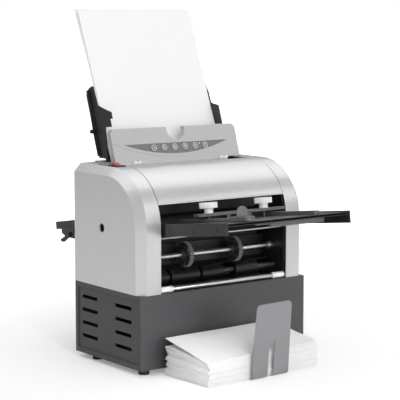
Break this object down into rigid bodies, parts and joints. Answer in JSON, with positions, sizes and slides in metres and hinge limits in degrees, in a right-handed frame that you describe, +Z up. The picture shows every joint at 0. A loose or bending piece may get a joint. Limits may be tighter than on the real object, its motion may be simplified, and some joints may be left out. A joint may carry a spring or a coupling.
{
  "type": "paper folding machine",
  "caption": "Desktop paper folding machine: silver covers on a vented stand, sheet hopper, sloped fold plates, rollers, key panel, red switch, folded stack with metal stop.",
  "frame": {"origin": "centre of the bounding box's footprint, on the desk under the feet", "axes": "+Z up, +X to the machine's right along the rollers seen from the front, -Y towards the user, where the folded sheets come out"},
  "size_m": [0.308, 0.446, 0.5262],
  "materials": {
    "silver_paint": "satin metallic",
    "stand_paint": "fine texture",
    "black_steel": "satin",
    "polished_steel": "polished",
    "white_plastic": "satin",
    "rubber": "matt",
    "black_plastic": "satin",
    "red_plastic": "gloss",
    "lens_grey": "satin",
    "key_grey": "satin",
    "gear_plastic": "satin",
    "circuit_green": "gloss",
    "grey_alloy": "anodised",
    "plate_steel": "satin",
    "motor_steel": "satin",
    "stop_steel": "brushed",
    "pad": "matt",
    "paper": "matt paper"
  },
  "bodies": {
    "machine": {"stand_frame": "stand_paint", "vent_panels": "stand_paint", "rubber_feet": "rubber", "side_cover_left": "silver_paint", "side_cover_right": "silver_paint", "rear_panel": "silver_paint", "chassis_left": "black_steel", "chassis_right": "black_steel", "cross_rods": "polished_steel", "lip_rod": "white_plastic", "inner_guides": "black_steel", "feed_tray": "black_steel", "panel_shell": "silver_paint", "panel_lens": "lens_grey", "boards": "circuit_green", "switch_bezel": "black_plastic", "motor": "motor_steel", "power_inlet": "black_plastic"},
    "separator": {"separator_pad": "pad"},
    "cover": {"top_cover": "silver_paint"},
    "left_guide": {"guide_left": "black_plastic"},
    "right_guide": {"guide_right": "black_plastic"},
    "guide_gear": {"guide_pinion": "gear_plastic"},
    "key_1": {"key_1": "key_grey"},
    "key_2": {"key_2": "key_grey"},
    "key_3": {"key_3": "key_grey"},
    "key_4": {"key_4": "key_grey"},
    "key_5": {"key_5": "key_grey"},
    "key_6": {"key_6": "key_grey"},
    "switch": {"rocker": "red_plastic"},
    "feeder": {"feed_shaft": "polished_steel", "feed_sleeves": "rubber"},
    "roller_top": {"fold_roller_top": "rubber"},
    "roller_front": {"fold_roller_front": "rubber"},
    "roller_rear": {"fold_roller_rear": "rubber"},
    "roller_low": {"fold_roller_low": "rubber"},
    "idler_feed": {"feed_idler": "gear_plastic"},
    "idler_delivery": {"delivery_idler": "gear_plastic"},
    "idler_motor": {"motor_idler": "gear_plastic"},
    "rotor": {"motor_pinion": "polished_steel"},
    "delivery": {"delivery_shaft": "polished_steel", "delivery_wheels": "rubber"},
    "exit_roller": {"exit_shaft": "polished_steel", "exit_segments": "rubber"},
    "front_plate": {"front_plate": "plate_steel", "plate_screws": "polished_steel", "plate_rails": "grey_alloy"},
    "front_stop": {"stop_bar": "grey_alloy"},
    "front_knob_left": {"knob_front_left": "white_plastic"},
    "front_knob_right": {"knob_front_right": "white_plastic"},
    "slider": {"fine_slider": "grey_alloy"},
    "rear_plate": {"rear_plate": "plate_steel"},
    "rear_stop": {"rear_stop_bar": "grey_alloy"},
    "rear_knob_left": {"knob_rear_left": "white_plastic"},
    "rear_knob_right": {"knob_rear_right": "white_plastic"},
    "latch": {"latch_lever": "black_steel"},
    "sheets": {"loaded_sheets": "paper"},
    "stack": {"folded_stack": "paper"},
    "bookend": {"stack_stop": "stop_steel"}
  },
  "joints": [
    {"name": "separator_press", "type": "slide", "parent": "machine", "child": "separator", "axis": [0, 0.9205, -0.3907], "range_m": [0, 0.0012], "stiffness_N_per_m": 300, "springref_m": -0.003},
    {"name": "top_cover_hinge", "type": "hinge", "parent": "machine", "child": "cover", "pos_m": [0, 0.03134, 0.289], "axis": [-1, 0, 0], "range_deg": [0, 55]},
    {"name": "left_guide_slide", "type": "slide", "parent": "machine", "child": "left_guide", "axis": [-1, 0, 0], "range_m": [0, 0.006]},
    {"name": "right_guide_slide", "type": "slide", "parent": "machine", "child": "right_guide", "axis": [1, 0, 0], "range_m": [0, 0.006]},
    {"name": "guide_pinion_turn", "type": "hinge", "parent": "machine", "child": "guide_gear", "pos_m": [0, 0.10455, 0.32154], "axis": [0, 0.9205, -0.3907], "range_deg": [-45, 5]},
    {"name": "key_1_press", "type": "slide", "parent": "machine", "child": "key_1", "axis": [0, 0.9455, -0.3256], "range_m": [0, 0.0006], "stiffness_N_per_m": 500, "springref_m": -0.001},
    {"name": "key_2_press", "type": "slide", "parent": "machine", "child": "key_2", "axis": [0, 0.9455, -0.3256], "range_m": [0, 0.0006], "stiffness_N_per_m": 500, "springref_m": -0.001},
    {"name": "key_3_press", "type": "slide", "parent": "machine", "child": "key_3", "axis": [0, 0.9455, -0.3256], "range_m": [0, 0.0006], "stiffness_N_per_m": 500, "springref_m": -0.001},
    {"name": "key_4_press", "type": "slide", "parent": "machine", "child": "key_4", "axis": [0, 0.9455, -0.3256], "range_m": [0, 0.0006], "stiffness_N_per_m": 500, "springref_m": -0.001},
    {"name": "key_5_press", "type": "slide", "parent": "machine", "child": "key_5", "axis": [0, 0.9455, -0.3256], "range_m": [0, 0.0006], "stiffness_N_per_m": 500, "springref_m": -0.001},
    {"name": "key_6_press", "type": "slide", "parent": "machine", "child": "key_6", "axis": [0, 0.9455, -0.3256], "range_m": [0, 0.0006], "stiffness_N_per_m": 500, "springref_m": -0.001},
    {"name": "switch_rock", "type": "hinge", "parent": "machine", "child": "switch", "pos_m": [-0.13, 0.01994, 0.2962], "axis": [1, 0, 0], "range_deg": [-14, 0]},
    {"name": "rear_roller_turn", "type": "hinge", "parent": "machine", "child": "roller_rear", "pos_m": [0, 0.02554, 0.2058], "axis": [1, 0, 0], "continuous": true},
    {"name": "top_roller_turn", "type": "hinge", "parent": "machine", "child": "roller_top", "pos_m": [0, 0.00362, 0.22772], "axis": [1, 0, 0], "continuous": true},
    {"name": "front_roller_turn", "type": "hinge", "parent": "machine", "child": "roller_front", "pos_m": [0, -0.0183, 0.2058], "axis": [1, 0, 0], "continuous": true},
    {"name": "low_roller_turn", "type": "hinge", "parent": "machine", "child": "roller_low", "pos_m": [0, 0.00362, 0.18388], "axis": [1, 0, 0], "continuous": true},
    {"name": "feed_idler_turn", "type": "hinge", "parent": "machine", "child": "idler_feed", "pos_m": [0, 0.02306, 0.24932], "axis": [1, 0, 0], "continuous": true},
    {"name": "feed_roller_turn", "type": "hinge", "parent": "machine", "child": "feeder", "pos_m": [0, 0.04186, 0.2702], "axis": [1, 0, 0], "continuous": true},
    {"name": "delivery_idler_turn", "type": "hinge", "parent": "machine", "child": "idler_delivery", "pos_m": [0, -0.02958, 0.18328], "axis": [1, 0, 0], "continuous": true},
    {"name": "delivery_turn", "type": "hinge", "parent": "machine", "child": "delivery", "pos_m": [0, -0.03891, 0.16465], "axis": [1, 0, 0], "continuous": true},
    {"name": "exit_turn", "type": "hinge", "parent": "machine", "child": "exit_roller", "pos_m": [0, -0.04489, 0.13473], "axis": [1, 0, 0], "continuous": true},
    {"name": "motor_idler_turn", "type": "hinge", "parent": "machine", "child": "idler_motor", "pos_m": [0, 0.03219, 0.16388], "axis": [1, 0, 0], "continuous": true},
    {"name": "rotor_turn", "type": "hinge", "parent": "machine", "child": "rotor", "pos_m": [0, 0.05296, 0.14644], "axis": [1, 0, 0], "continuous": true},
    {"name": "front_plate_pull", "type": "slide", "parent": "machine", "child": "front_plate", "axis": [0, -0.9929, 0.1193], "range_m": [0, 0.04]},
    {"name": "front_stop_slide", "type": "slide", "parent": "front_plate", "child": "front_stop", "axis": [0, -0.9929, 0.1193], "range_m": [-0.005, 0.04]},
    {"name": "front_knob_left_turn", "type": "hinge", "parent": "front_stop", "child": "front_knob_left", "pos_m": [-0.051, -0.09993, 0.23303], "axis": [0, 0.1193, 0.9929], "range_deg": [-180, 180]},
    {"name": "front_knob_right_turn", "type": "hinge", "parent": "front_stop", "child": "front_knob_right", "pos_m": [0.051, -0.09993, 0.23303], "axis": [0, 0.1193, 0.9929], "range_deg": [-180, 180]},
    {"name": "fine_slider_slide", "type": "slide", "parent": "front_plate", "child": "slider", "axis": [0, 0.9929, -0.1193], "range_m": [0, 0.01]},
    {"name": "rear_plate_pull", "type": "slide", "parent": "machine", "child": "rear_plate", "axis": [0, 0.9929, -0.1193], "range_m": [0, 0.03]},
    {"name": "rear_stop_slide", "type": "slide", "parent": "rear_plate", "child": "rear_stop", "axis": [0, 0.9929, -0.1193], "range_m": [-0.012, 0.04]},
    {"name": "rear_knob_left_turn", "type": "hinge", "parent": "rear_stop", "child": "rear_knob_left", "pos_m": [-0.051, 0.14307, 0.20788], "axis": [0, 0.1193, 0.9929], "range_deg": [-180, 180]},
    {"name": "rear_knob_right_turn", "type": "hinge", "parent": "rear_stop", "child": "rear_knob_right", "pos_m": [0.051, 0.14307, 0.20788], "axis": [0, 0.1193, 0.9929], "range_deg": [-180, 180]},
    {"name": "latch_turn", "type": "hinge", "parent": "rear_plate", "child": "latch", "pos_m": [-0.1175, 0.1764, 0.17517], "axis": [1, 0, 0], "range_deg": [-30, 20]},
    {"name": "sheets_lift", "type": "slide", "parent": "machine", "child": "sheets", "axis": [0, 0.3907, 0.9205], "range_m": [0, 0.06]},
    {"name": "stack_lift", "type": "slide", "parent": "machine", "child": "stack", "axis": [0, 0, 1], "range_m": [0, 0.06]},
    {"name": "bookend_slide", "type": "slide", "parent": "machine", "child": "bookend", "axis": [0.0489, -0.9988, 0], "range_m": [0, 0.03]}
  ],
  "couplings": [
    {"joint": "right_guide_slide", "follows": "left_guide_slide", "ratio": 1},
    {"joint": "guide_pinion_turn", "follows": "left_guide_slide", "rad_per_m": -125},
    {"joint": "top_roller_turn", "follows": "rear_roller_turn", "ratio": -1},
    {"joint": "front_roller_turn", "follows": "rear_roller_turn", "ratio": 1},
    {"joint": "low_roller_turn", "follows": "rear_roller_turn", "ratio": -1},
    {"joint": "feed_idler_turn", "follows": "rear_roller_turn", "ratio": 1.1429},
    {"joint": "feed_roller_turn", "follows": "rear_roller_turn", "ratio": -1.0667},
    {"joint": "delivery_idler_turn", "follows": "rear_roller_turn", "ratio": -1.6},
    {"joint": "delivery_turn", "follows": "rear_roller_turn", "ratio": 1.3913},
    {"joint": "exit_turn", "follows": "rear_roller_turn", "ratio": -1.7391},
    {"joint": "motor_idler_turn", "follows": "rear_roller_turn", "ratio": 0.8},
    {"joint": "rotor_turn", "follows": "rear_roller_turn", "ratio": -2}
  ]
}
